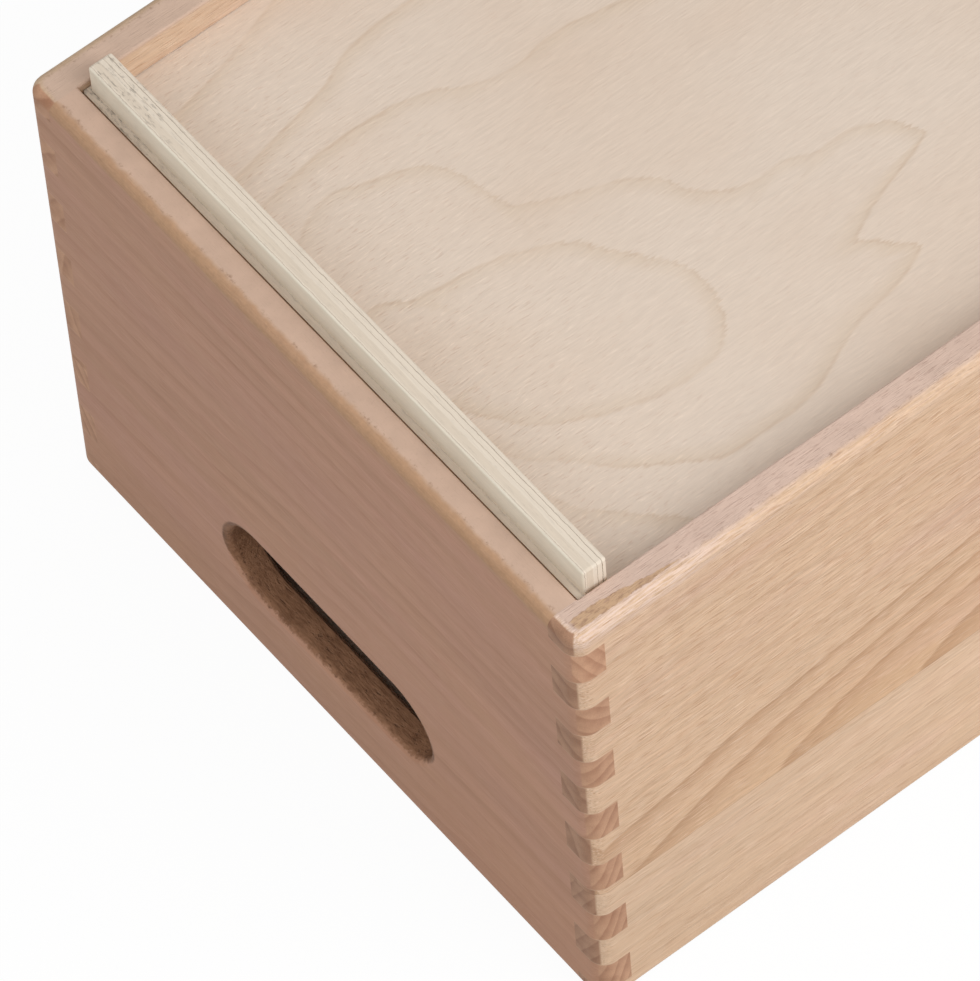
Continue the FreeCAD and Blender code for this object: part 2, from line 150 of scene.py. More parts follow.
class Finish:
    """A material being drawn up, with the place (x, y, z, in mm) and facing (nx, ny, nz)."""

    def __init__(self, name):
        self.material = bpy.data.materials.new(name)
        self.material.use_nodes = True
        self.tree = self.material.node_tree
        self.tree.nodes.clear()
        coordinates = self.node("ShaderNodeTexCoord")
        scaled = self.node("ShaderNodeVectorMath")
        scaled.operation = "SCALE"
        scaled.inputs["Scale"].default_value = PER_METRE
        self.tree.links.new(coordinates.outputs["Object"], scaled.inputs[0])
        self.place = scaled.outputs[0]
        self.x, self.y, self.z = self.split(self.place)
        self.nx, self.ny, self.nz = self.split(coordinates.outputs["Normal"])

    def node(self, kind):
        return self.tree.nodes.new(kind)

    def split(self, vector):
        """Return a vector's three parts as fields."""
        separate = self.node("ShaderNodeSeparateXYZ")
        self.tree.links.new(vector, separate.inputs[0])
        return [Field(self, output) for output in separate.outputs]

    def join(self, x, y, z):
        """Make a vector from three fields or numbers."""
        combine = self.node("ShaderNodeCombineXYZ")
        for socket, value in zip(combine.inputs, (x, y, z)):
            self.feed(socket, value)
        return combine.outputs[0]

    def feed(self, socket, value):
        """Link a field to a socket, or set a plain value on it."""
        if isinstance(value, Field):
            self.tree.links.new(value.socket, socket)
        else:
            socket.default_value = value

    def math(self, operation, *values):
        """Work out one step of arithmetic."""
        step = self.node("ShaderNodeMath")
        step.operation = operation
        for socket, value in zip(step.inputs, values):
            self.feed(socket, value)
        return Field(self, step.outputs[0])

    def remap(self, field, low, high):
        """Climb smoothly from 0 to 1 as a field goes from low to high."""
        step = self.node("ShaderNodeMapRange")
        step.interpolation_type = "SMOOTHSTEP"
        self.feed(step.inputs["Value"], field)
        self.feed(step.inputs["From Min"], low)
        self.feed(step.inputs["From Max"], high)
        return Field(self, step.outputs["Result"])

    def noise(self, size, seed, detail=2.0, roughness=0.5, place=None):
        """Smooth chance between about -1 and 1, with lumps of a size given along x, y and z."""
        fit = self.node("ShaderNodeMapping")
        fit.inputs["Scale"].default_value = [1 / length for length in size]
        fit.inputs["Location"].default_value = (seed * 7.31, seed * 3.17, seed * 5.23)
        self.tree.links.new(place or self.place, fit.inputs["Vector"])
        texture = self.node("ShaderNodeTexNoise")
        texture.inputs["Scale"].default_value = 1.0
        texture.inputs["Detail"].default_value = detail
        texture.inputs["Roughness"].default_value = roughness
        self.tree.links.new(fit.outputs[0], texture.inputs["Vector"])
        return Field(self, texture.outputs[0]) * 2 - 1

    def blend(self, share, low, high):
        """Go from one colour to another as a share goes from 0 to 1."""
        return self.mix("MIX", share, low, high)

    def shade(self, colour, field):
        """Multiply a colour by a brightness."""
        grey = self.node("ShaderNodeCombineColor")
        for socket in grey.inputs:
            self.feed(socket, field)
        return self.mix("MULTIPLY", 1.0, colour, Field(self, grey.outputs[0]))

    def mix(self, kind, share, low, high):
        """Mix two colours in one of the mixing node's ways."""
        step = self.node("ShaderNodeMix")
        step.data_type = "RGBA"
        step.blend_type = kind
        self.feed(step.inputs[0], share)
        self.feed(step.inputs[6], low)
        self.feed(step.inputs[7], high)
        return Field(self, step.outputs[2])

    def steps(self, field, stops):
        """Give one colour up to each limit of a field that runs from 0 to 1, in crisp steps."""
        ramp = self.node("ShaderNodeValToRGB")
        ramp.color_ramp.interpolation = "CONSTANT"
        for element in list(ramp.color_ramp.elements)[1:]:
            ramp.color_ramp.elements.remove(element)
        ramp.color_ramp.elements[0].position = stops[0][0]
        ramp.color_ramp.elements[0].color = stops[0][1]
        for position, colour in stops[1:]:
            ramp.color_ramp.elements.new(position).color = colour
        self.feed(ramp.inputs[0], field)
        return Field(self, ramp.outputs[0])

    def curve(self, field, points, corners=()):
        """Follow a curve through given pairs of shares, smooth except at its corners."""
        step = self.node("ShaderNodeFloatCurve")
        line = step.mapping.curves[0]
        line.points[0].location = points[0]
        line.points[1].location = points[-1]
        for point in points[1:-1]:
            handle = line.points.new(*point)
            if point[0] in corners:
                handle.handle_type = "VECTOR"
        step.mapping.update()
        self.feed(step.inputs["Value"], field)
        return Field(self, step.outputs[0])

    def close(self, colour, relief, roughness=0.6, specular=0.3, metallic=0.0):
        """Finish the material with its colour and a relief in millimetres."""
        shader = self.node("ShaderNodeBsdfPrincipled")
        self.feed(shader.inputs["Base Color"], colour)
        self.feed(shader.inputs["Roughness"], roughness)
        shader.inputs["Specular IOR Level"].default_value = specular
        shader.inputs["Metallic"].default_value = metallic
        bump = self.node("ShaderNodeBump")
        bump.inputs["Distance"].default_value = 1 / PER_METRE
        self.feed(bump.inputs["Height"], relief)
        self.tree.links.new(bump.outputs[0], shader.inputs["Normal"])
        output = self.node("ShaderNodeOutputMaterial")
        self.tree.links.new(shader.outputs[0], output.inputs["Surface"])
        return self.material


# ------------------------------------------------------------------ rings of the solid boards

# Each function returns a board's years, counted outwards from its pith, how strongly each
# year's dark edge shows, and how much the wood browns towards the heart.

def right_upper_rings(wood):
    """Rings round a pith that runs below and behind the board, and nears it along the box.

    The radius is the root of the squares of the height over the pith and of the depth to it,
    so on the face the rings are nested flames that open away from the near end.
    """
    heart_height = 60.0
    heart_depth = 98.0
    heart_lean = 0.117
    year_width = 7.7
    flame_year = 14
    flame_radius = 105.0
    browned_years = 5.5
    wander = wood.noise((110, 60, 45), 1) * 3.0 + wood.noise((30, 10, 6), 2) * 0.6
    depth = heart_depth - heart_lean * (wood.x + HALF_LENGTH) - (wood.y + HALF_WIDTH)
    radius = hypot(depth, wood.z - heart_height) + wander
    years = (radius - flame_radius) / year_width + flame_year
    flames = years.fall(flame_year, flame_year + 0.2) * (wood.x.fall(40, 190) * 0.5 + 0.5)
    outer = years.rise(flame_year, flame_year + 1)
    years = years + wood.noise((90, 14, 9), 16) * outer * 0.45
    faint = wood.noise((80, 20, 14), 17).rise(-0.6, 0.4) * outer * 0.42
    heart = (flame_year + 1 - years).rise(0, browned_years)
    return years, faint + flames * 0.85, heart


def right_lower_rings(wood):
    """Nearly level rings, for straight grain with little figure."""
    year_height = 9.2
    year_depth = 5
    wander = wood.noise((150, 40, 30), 3) * 2.0 + wood.noise((20, 8, 3), 4) * 0.5
    years = (wood.z + wander) / year_height + (wood.y + HALF_WIDTH) / year_depth + 3.2
    strength = wood.noise((160, 30, 12), 5).rise(-0.4, 0.9) * 0.5
    return years, strength, wood.z.fall(0, 60) * 0.2


def left_upper_rings(wood):
    """Rings of the left wall's upper board, with a pith outside the box."""
    heart_height = 118
    heart_depth = 80
    heart_lean = 0.09
    year_width = 8.2
    wander = wood.noise((120, 60, 50), 6) * 3.5 + wood.noise((18, 8, 5), 7) * 0.5
    depth = heart_depth + heart_lean * (wood.x + HALF_LENGTH) - (HALF_WIDTH - wood.y)
    years = (hypot(depth, wood.z - heart_height) + wander) / year_width
    return years, years.fall(9.0, 14.0) * 0.4 + 0.2, years.fall(8.0, 14.0) * 0.15


def left_lower_rings(wood):
    """Straight grain of the left wall's lower board."""
    year_height = 9.5
    year_depth = 5
    wander = wood.noise((150, 40, 30), 8) * 2.5 + wood.noise((20, 8, 3), 9) * 0.4
    years = (wood.z + wander) / year_height + (HALF_WIDTH - wood.y) / year_depth + 1.4
    strength = wood.noise((160, 30, 12), 10).rise(-0.4, 0.9) * 0.55
    return years, strength, wood.z.fall(0, 60) * 0.3


def near_end_rings(wood):
    """Slow level grain that steps down towards the left wall, most of all halfway up.

    Through the board's thickness the rings lean one way near the rim and the other way below.
    The wood is browner low down and towards the right wall.
    """
    year_height = 11.5
    year_depth = 4.2
    step_middle = 40
    step_reach = 80
    turn_height = 163
    turn_reach = 40
    step = 3 + 11 * wood.z.fall(115, 185)
    level = wood.z + step * ((wood.y - step_middle) / step_reach).tanh()
    wander = wood.noise((60, 90, 30), 11) * 6.0 + wood.noise((8, 22, 4), 12) * 0.9
    lean = ((wood.z - turn_height) / turn_reach).tanh()
    years = (level + wander) / year_height + lean * (wood.x + HALF_LENGTH) / year_depth
    strength = wood.noise((40, 120, 12), 13).rise(-0.45, 0.55) * 0.46 + 0.03
    heart = wood.z.fall(20, 150) * 0.4 + wood.y.fall(-150, 40) * 0.35
    return years, strength, heart


def far_end_rings(wood):
    """Slow grain of the far end wall, rising the other way and browner towards its top."""
    year_height = 10.5
    year_depth = 4.6
    step = 9
    step_offset = 25
    step_reach = 95
    level = wood.z - step * ((wood.y + step_offset) / step_reach).tanh()
    wander = wood.noise((60, 90, 40), 14) * 3.0 + wood.noise((8, 18, 4), 15) * 0.4
    years = (level + wander) / year_height + (HALF_LENGTH - wood.x) / year_depth
    strength = wood.noise((40, 120, 12), 16).rise(-0.45, 0.55) * 0.45 + 0.1
    return years, strength, wood.z.rise(60, 190) * 0.5


# ------------------------------------------------------------------ beech

PALE_BEECH = display(222, 190, 160)
LATE_BEECH = display(176, 133, 98)
HEART_BEECH = display(219, 181, 144)
PINK_BEECH = display(214, 180, 160)
HIGHLIGHT_STREAK_BEECH = display(234, 208, 194)
FLECKED_BEECH = display(182, 134, 100)
GLINTING_BEECH = display(242, 214, 190)
ORANGE_BEECH = display(190, 156, 116)
STAINED_BEECH = display(196, 160, 124)
STAINED_DARK = display(160, 124, 94)
SCORED_BEECH = display(120, 78, 50)
DASHED_BEECH = display(158, 124, 110)
SEAM_BEECH = display(222, 194, 168)
END_BEECH = display(201, 157, 127)
DARK_END_BEECH = display(166, 121, 94)
SAWN_BEECH = display(164, 120, 90)
SAWN_DARK = display(129, 90, 64)


def from_outside(wood):
    """Distance in from the box's rounded outline, seen from above."""
    across = abs(wood.x) - (HALF_LENGTH - CORNER_ROUND)
    along = abs(wood.y) - (HALF_WIDTH - CORNER_ROUND)
    corner = hypot(across.at_least(0), along.at_least(0))
    inside = across.at_least(along).at_most(0)
    return CORNER_ROUND - corner - inside


def to_finger_edge(wood):
    """Distance to the nearest level edge of the finger joints."""
    share = ((wood.z - GROUND_FINGER) / FINGER).part()
    return share.at_most(1 - share) * FINGER


def beech_colour(wood, board):
    """Work out the face colour of a board and the relief of its grain.

    From below to above: heart and pink patches, the year's dark edge, dark and pale flecks,
    the board's own tint, a painted light that grows along the box, and the brightness of
    fibres, fine lines and broad bands.
    """
    lengthwise = board["grain"] == "x"
    seed = board["seed"]
    years, strength, heart = board["rings"](wood)
    year = years.part()
    late = (year ** 2.4) * year.fall(0.94, 1.0) * strength

    def stretched(along, across, up):
        return (along, across, up) if lengthwise else (across, along, up)

    sway = wood.noise(stretched(16, 6, 6), seed + 6, detail=1) * 1.3
    place = wood.join(wood.x, wood.y, wood.z + sway)
    fibre = wood.noise(stretched(18, 0.75, 0.75), seed + 1, detail=3, roughness=0.66, place=place)
    fleck = wood.noise(stretched(8, 0.52, 0.52), seed + 2, detail=1, place=place)
    glint = wood.noise(stretched(9, 0.55, 0.55), seed + 3, detail=1, place=place)
    line = wood.noise(stretched(60, 2.6, 0.9), seed + 15, detail=2, place=place)
    band = wood.noise(stretched(220, 14, 9), seed + 4, detail=2)
    cloud = wood.noise(stretched(90, 60, 45), seed + 5, detail=1)
    dark = fleck.rise(0.02, 0.40)
    light = glint.rise(0.04, 0.42)

    colour = wood.blend(heart, PALE_BEECH, HEART_BEECH)
    colour = wood.blend((0.25 + cloud * 0.5 + band * 0.4 + board["pink"]).rise(0, 1),
                        colour, PINK_BEECH)
    colour = wood.blend(late * 0.8, colour, LATE_BEECH)
    lively = board["lively"] * (1 - heart * 0.35)
    colour = wood.blend(dark * 0.48 * lively, colour, FLECKED_BEECH)
    colour = wood.blend(light * 0.50 * lively, colour, GLINTING_BEECH)
    colour = wood.mix("MULTIPLY", 1.0, colour, board["tint"])
    # Painted light: the right wall's boards get lighter along the box, away from the near corner.
    brightness_and_painted_light = wood.x.rise(-210, 60) * board.get("painted_light_gradient", 0) + board.get("lift", 1.0)
    brightness_and_painted_light = brightness_and_painted_light + band * board.get("banded", 0.05)
    colour = wood.shade(colour, brightness_and_painted_light + (fibre * 0.24 + line * 0.13) * lively)
    relief = (fibre * 0.06 - dark * 0.07 + light * 0.05) * lively
    return colour, relief, years


def end_grain(wood, board, colour, years, facing):
    """Lay end grain over a colour where the board's fibres run out of the surface.

    A pale glue seam follows each level edge of the fingers.
    """
    year = years.part()
    late = year ** 1.6 * year.fall(0.86, 1.0)
    pores = wood.noise((0.4, 0.4, 0.4), board["seed"] + 7, detail=1)
    patch = wood.noise((6, 6, 6), board["seed"] + 8, detail=1)
    grain = wood.blend((late * 0.7 + patch * 0.6 + 0.15).rise(-0.2, 1.1),
                       END_BEECH, DARK_END_BEECH)
    light = wood.z.rise(185, 204) * board.get("high_light", 0) + board["end_light"]
    grain = wood.shade(grain, (pores * 0.16 + 1) * light)
    seam = to_finger_edge(wood).fall(0.1, 0.45)
    grain = wood.blend(seam * 0.35, grain, SEAM_BEECH)
    return wood.blend(facing, colour, grain)


def rim_colour(wood, board, colour, facing):
    """Pale and pinken the flat of the rim, fleck its outer line and warm the rounding."""
    inward = from_outside(wood)
    seed = board["seed"]
    wobble = wood.noise((6, 6, 6), seed + 9, detail=4, roughness=0.55) * 1.3
    soft = wood.noise((9, 9, 3), seed + 18, detail=3) * 2.2
    high = (wood.z + soft).rise(RIM - 6.5, RIM - 2.5)
    flat = wood.z.rise(RIM - 2.0, RIM - 0.5)
    pores = wood.noise((0.8, 0.8, 0.8), seed + 10, detail=2).rise(0.18, 0.5)
    grey = wood.noise((10, 10, 10), seed + 20, detail=3)
    pink = wood.shade(board["rim"], 1.01 + grey * 0.16 - pores * 0.07)
    nicks = wood.noise((2.4, 2.4, 1.2), seed + 19, detail=4, roughness=0.7)
    rounded = wood.shade(wood.blend(board["warmth"], colour, ORANGE_BEECH), 0.96 + nicks * 0.2)
    colour = wood.blend(high * (inward + wobble).fall(3.7, 5.7) * (1 - facing), colour, rounded)
    colour = wood.blend(flat * (inward + wobble).rise(2.3, 4.7) * 0.92, colour, pink)
    line = (inward + wobble * 0.8).near(RIM_ROUND, 1.3)
    broken = wood.noise((2.6, 2.6, 2.6), seed + 11, detail=4, roughness=0.7).rise(0.02, 0.36)
    return wood.blend(line * broken * high * 0.5, colour, SCORED_BEECH)


def rim_highlights_and_stain(wood, colour, facing):
    """Paint pale pink highlights in streaks on the right wall's rounding, and stain a wedge tan
    by the corner.

    Short brown dashes follow the grain on the flat of the rim.
    """
    inward = from_outside(wood)
    high = wood.z.rise(RIM - 9.0, RIM - 3.5) * (1 - facing)
    near = wood.x.fall(-165, -100)
    fine = wood.noise((9, 0.6, 0.6), 90, detail=3, roughness=0.65).rise(-0.25, 0.25)
    # Painted highlight: pale pink streaks along the grain on the rounding, strongest near the
    # corner.
    painted_highlight_streaks = high * inward.fall(3.8, 4.8) * fine * (0.25 + near * 0.55)
    colour = wood.blend(painted_highlight_streaks, colour, HIGHLIGHT_STREAK_BEECH)

    wedge_tip = -150
    wedge_slope = 0.15
    wedge_width = 4.8
    ragged = wood.noise((5, 5, 5), 91, detail=4, roughness=0.65) * 1.5
    width = ((wedge_tip - wood.x) * wedge_slope).at_least(0).at_most(wedge_width)
    across = wood.y + HALF_WIDTH + ragged
    stain = across.rise(3.7, 4.2) * (across - width).fall(3.7, 4.2)
    stain = stain * (wood.x + ragged).rise(-195.5, -193.5) * wood.z.rise(RIM - 2, RIM - 1)
    mottle = wood.noise((4, 1.6, 1.6), 93, detail=4, roughness=0.7).rise(-0.10, 0.34)
    tan = wood.blend(mottle, STAINED_BEECH, STAINED_DARK)
    colour = wood.blend(stain * 0.85, colour, tan)
    colour = wood.blend(stain.near(0.5, 0.48) * mottle * 0.7, colour, SCORED_BEECH)
    dashes = wood.noise((5, 0.7, 0.7), 92, detail=2, roughness=0.6).rise(0.10, 0.36)
    on_flat = wood.z.rise(RIM - 1.2, RIM - 0.3) * inward.rise(4.2, 5.4)
    return wood.blend(dashes * on_flat * 0.4, colour, DASHED_BEECH)


def slot_colour(wood, board, colour):
    """Roughen and darken the sawn wall of the hand slot, with a frayed lower edge.

    The distance from the slot's outline is that from a short level line at its middle.
    The rounded edge round the slot, but not along its bottom, gets a painted shade.
    """
    across = (abs(wood.y) - SLOT_REACH).at_least(0)
    below = wood.z.fall(SLOT_MIDDLE - 14, SLOT_MIDDLE - 2)
    ragged = wood.noise((1.4, 1.4, 1.4), board["seed"] + 12, detail=4, roughness=0.7)
    away = hypot(across, wood.z - SLOT_MIDDLE) - SLOT_RADIUS + ragged * (0.4 + below * 1.4)
    inside = (away + below * 2.0).fall(2.3, 3.4)
    dash = wood.noise((1.3, 3.6, 1.3), board["seed"] + 13, detail=4, roughness=0.62)
    pit = wood.noise((1.2, 3.2, 1.2), board["seed"] + 14, detail=2).rise(0.20, 0.46)
    patch = wood.noise((9, 12, 9), board["seed"] + 21, detail=2)
    sawn = wood.blend((dash + patch * 0.7).rise(-0.5, 0.6), SAWN_BEECH, SAWN_DARK)
    # Painted shade on the slot's rounded edge, but not along its bottom, where it turns up to the
    # light.
    painted_shade_round_slot = away.rise(0.2, 2.4) * (1 - below)
    sawn = wood.shade(sawn, 1 - pit * 0.24 - painted_shade_round_slot * 0.26)
    return wood.blend(inside, colour, sawn), inside * (dash * -0.22 - pit * 0.18)


def beech(name, **board):
    """Make the finish of one solid beech board, its grain along x or y."""
    wood = Finish(name)
    colour, relief, years = beech_colour(wood, board)
    if board["grain"] == "x":
        level = hypot(wood.nx, wood.ny)
        facing = (abs(wood.nx) / level.at_least(0.05)).rise(0.68, 0.80) * level.rise(0.2, 0.4)
    else:
        facing = abs(wood.ny).rise(0.46, 0.58)
    colour = end_grain(wood, board, colour, years, facing)
    if "rim" in board:
        colour = rim_colour(wood, board, colour, facing)
    if board.get("highlight_streaks_and_stain"):
        colour = rim_highlights_and_stain(wood, colour, facing)
    if board.get("slot"):
        colour, sawn = slot_colour(wood, board, colour)
        relief = relief + sawn
    if board["grain"] == "x":
        seam = abs(wood.z - GLUE_LINE)
        colour = wood.blend(seam.fall(0.05, 0.3) * 0.3, colour, SCORED_BEECH)
    return wood.close(colour, relief, roughness=0.62, specular=0.25)


# For each board: the run of its grain, its rings and seed; then how pink it is, how lively its
# flecks and fibres are, how strong its broad bands are, how light it is, how much painted light
# it gains along the box, and the tint of the whole board. The rest is end grain, rim and slot.
BOARDS = {
    "near_end_wall": dict(
        grain="y", rings=near_end_rings, seed=20, pink=0.10, lively=0.42, banded=0.17,
        # Its tint is partly redder wood and partly painted shade on this end, away from the key
        # light.
        tint=display(220, 200, 196), end_light=1.0, high_light=0.12,
        warmth=0.45, rim=display(202, 173, 153), slot=True),
    "far_end_wall": dict(
        grain="y", rings=far_end_rings, seed=40, pink=0.05, lively=0.5,
        tint=display(240, 232, 230), end_light=1.0, slot=True),
    "right_wall_upper_board": dict(
        grain="x", rings=right_upper_rings, seed=60, pink=-0.05, lively=1.0,
        lift=0.985, painted_light_gradient=0.055, tint=display(255, 252, 249), end_light=0.80,
        warmth=0.10, rim=display(208, 181, 166), highlight_streaks_and_stain=True),
    "right_wall_lower_board": dict(
        grain="x", rings=right_lower_rings, seed=80, pink=-0.15, lively=0.65, banded=0.11,
        lift=0.975, painted_light_gradient=0.115, tint=display(255, 255, 255), end_light=0.80),
    "left_wall_upper_board": dict(
        grain="x", rings=left_upper_rings, seed=100, pink=0.0, lively=0.8,
        tint=display(247, 251, 255), end_light=1.02,
        warmth=0.3, rim=display(202, 174, 155)),
    "left_wall_lower_board": dict(
        grain="x", rings=left_lower_rings, seed=120, pink=0.0, lively=0.6,
        tint=display(250, 250, 250), end_light=1.02),
}


# ------------------------------------------------------------------ plywood

PALE_BIRCH = display(220, 203, 187)
WARM_BIRCH = display(216, 195, 176)
BIRCH_LINE = display(178, 142, 112)
BIRCH_STAIN = display(200, 176, 146)
DASHED_BIRCH = display(186, 143, 118)
CREAM_PLY = display(234, 221, 204)
PALE_PLY = display(243, 232, 212)
CORE_PLY = display(222, 207, 188)
GREY_PLY = display(247, 238, 219)
GLUE_PLY = display(170, 150, 128)
DARK_PLY = display(134, 112, 90)

# The lid's closed rings, each by its middle in mm and its reach in mm at points round it,
# given as shares of a turn from the near end, on by way of the right wall.
LID_OVAL = dict(middle=(-120, -39), corners=(), reach=(
    (0.00, 48), (0.017, 44), (0.078, 39), (0.15, 37), (0.226, 38), (0.28, 43), (0.334, 51),
    (0.387, 57), (0.42, 56), (0.461, 52.5), (0.497, 45.7), (0.557, 37.5), (0.635, 35),
    (0.717, 34.6), (0.793, 39.2), (0.845, 48.8), (0.867, 63), (0.92, 66), (1.00, 48)))
LID_LOBES = dict(middle=(-100, -76), corners=(0.474, 0.499, 0.522), reach=(
    (0.00, 57), (0.02, 50), (0.09, 41), (0.15, 38), (0.21, 40), (0.28, 41), (0.33, 46),
    (0.363, 50), (0.397, 55), (0.415, 59), (0.432, 65), (0.447, 75), (0.458, 85), (0.474, 97.5),
    (0.481, 91), (0.492, 85), (0.499, 78), (0.511, 92), (0.516, 103), (0.522, 128),
    (0.529, 127), (0.544, 119.6), (0.553, 110), (0.559, 98.5), (0.572, 92), (0.587, 79),
    (0.62, 73), (0.66, 78), (0.70, 78), (0.743, 84), (0.754, 94), (0.760, 113), (0.776, 124),
    (0.792, 131), (0.81, 138), (0.83, 136), (0.88, 102), (0.94, 76), (1.00, 57)))

# The lid's open rings, each by its place across the lid in mm at points along it.
LID_WAVES = (
    ((-190, 60), (-164, 65), (-130, 70), (-107, 69), (-92, 65), (-78, 58), (-62, 55), (-45, 57),
     (-25, 54), (40, 36), (110, 18), (199, 12)),
    ((-190, 75), (-164, 80), (-137, 86), (-117, 91), (-92, 99), (-72, 100), (0, 94), (80, 82),
     (199, 72)),
    ((-190, 108), (-164, 114), (-142, 119), (-112, 129), (-60, 142), (199, 146)),
    ((-190, -72), (-168, -84), (-160, -100), (-150, -110), (-137, -124), (-110, -142),
     (199, -148)),
)


def ring_round(panel, middle, corners, reach):
    """Return how far a place lies outside a closed ring, along the line from its middle."""
    furthest = max(length for turn, length in reach)
    points = [(share, length / furthest) for share, length in reach]

    def outside(x, y):
        across, up = x - middle[0], y - middle[1]
        turn = panel.math("ARCTAN2", up, across) / (2 * math.pi) + 0.5
        return hypot(across, up) - panel.curve(turn, points, corners) * furthest
    return outside


def ring_along(panel, points):
    """Return how far a place lies beyond an open ring, across the panel."""
    start, end = points[0][0], points[-1][0]
    low = min(y for x, y in points)
    high = max(y for x, y in points)

    def beyond(x, y):
        share = (x - start) / (end - start)
        edge = panel.curve(share, [((along - start) / (end - start), (across - low) / (high - low))
                                   for along, across in points])
        return y - (edge * (high - low) + low)
    return beyond


def true_distance(far, x, y):
    """Divide a distance by its own steepness, so that a line has one width all round.

    The steepness is the change over a short step along x and along y.
    """
    step = 0.5
    here = far(x, y)
    slope = hypot(far(x + step, y) - here, far(x, y + step) - here) / step
    return here / slope.at_least(0.8).at_most(4.0)


def lid_figure(panel, x, y):
    """Lay the lid's rings: two closed ones, four open ones and flames at the far end."""
    rings = [ring_round(panel, **LID_OVAL), ring_round(panel, **LID_LOBES)]
    rings += [ring_along(panel, wave) for wave in LID_WAVES]
    thin, soft = 0, 0
    for ring in rings:
        away = true_distance(ring, x, y)
        thin = away.near(0, 1.2).at_least(thin)
        soft = (away.rise(-7.5, -0.5) * away.fall(0.0, 1.5)).at_least(soft)
    flame_bend = 0.016
    flame_offset = 22
    flame_width = 34
    flames = (x - flame_bend * (y + flame_offset) ** 2) / flame_width
    opening = x.rise(40, 120)
    thin = (flames.part().near(0.5, 0.03) * opening).at_least(thin)
    soft = (flames.part().near(0.42, 0.14) * opening).at_least(soft)
    return thin, soft


def floor_figure(panel, x, y):
    """Lay the floor's rings: flames nested about the middle."""
    flame_bend = 0.012
    flame_middle = 18
    flame_width = 40
    flames = (x - flame_bend * (y - flame_middle) ** 2) / flame_width
    return flames.part().near(0.5, 0.03), flames.part().near(0.42, 0.14)


def plywood_face(panel, seed, figure):
    """Work out the colour and relief of a sanded plywood face, its grain along x.

    The rings get jagged edges, and the short dashes fade away from the near end.
    """
    jag = panel.noise((9, 0.8, 9), seed, detail=2)
    drift = panel.noise((36, 26, 40), seed + 1) * 2.6
    thin, soft = figure(panel, panel.x + drift + jag * 3.2, panel.y + drift * 0.5 + jag * 0.6)
    faint = panel.noise((50, 40, 60), seed + 2).rise(-0.6, 0.3) * 0.6 + 0.4
    broken = panel.noise((6, 3, 6), seed + 7, detail=2).rise(-0.4, 0.4) * 0.7 + 0.3
    sway = panel.noise((14, 6, 14), seed + 8, detail=1) * 1.0
    place = panel.join(panel.x, panel.y + sway, panel.z)
    fibre = panel.noise((11, 0.8, 0.8), seed + 3, detail=3, roughness=0.6, place=place)
    dash = panel.noise((5, 0.62, 0.62), seed + 4, detail=1, place=place)
    cloud = panel.noise((90, 70, 90), seed + 5, detail=2)
    rough = 0.35 + panel.x.fall(-185, -70) * 0.75
    dark = dash.rise(0.16, 0.48) * rough
    light = (dash * -1).rise(0.16, 0.48) * rough
    colour = panel.blend((cloud * 0.9 + 0.35).rise(0, 1), PALE_BIRCH, WARM_BIRCH)
    colour = panel.blend(soft * faint * 0.25, colour, BIRCH_STAIN)
    colour = panel.blend(thin * broken * faint * 0.23, colour, BIRCH_LINE)
    colour = panel.blend(dark * 0.27, colour, DASHED_BIRCH)
    colour = panel.shade(colour, 1 + fibre * 0.12 + light * 0.12)
    return colour, fibre * 0.03 - dark * 0.05 + light * 0.03


def ply_edges(panel, depth, thickness, seed):
    """Colour an edge by depth into the sheet: five plies, with thin dark glue lines between."""
    plies = 5
    waver = panel.noise((20, 20, 20), seed) * 0.12
    layer = (depth + waver) / thickness * plies
    cross = (layer.whole() * 0.5).part() * 2
    colour = panel.blend(cross, CREAM_PLY, GREY_PLY)
    streak = panel.noise((1.5, 1.5, 0.4), seed + 1, detail=3)
    colour = panel.shade(colour, 1 + streak * 0.12)
    glue = layer.part().near(0.0, 0.10) + layer.part().near(1.0, 0.10)
    return panel.blend(glue * 0.6, colour, GLUE_PLY)


def plywood(name, low, high, seed, figure):
    """Make the finish of a plywood panel, faces level and edges upright."""
    panel = Finish(name)
    colour, relief = plywood_face(panel, seed, figure)
    edge = ply_edges(panel, panel.z - low.z, high.z - low.z, seed + 6)
    colour = panel.blend(abs(panel.nz).fall(0.5, 0.8), colour, edge)
    return panel.close(colour, relief, roughness=0.55, specular=0.25)


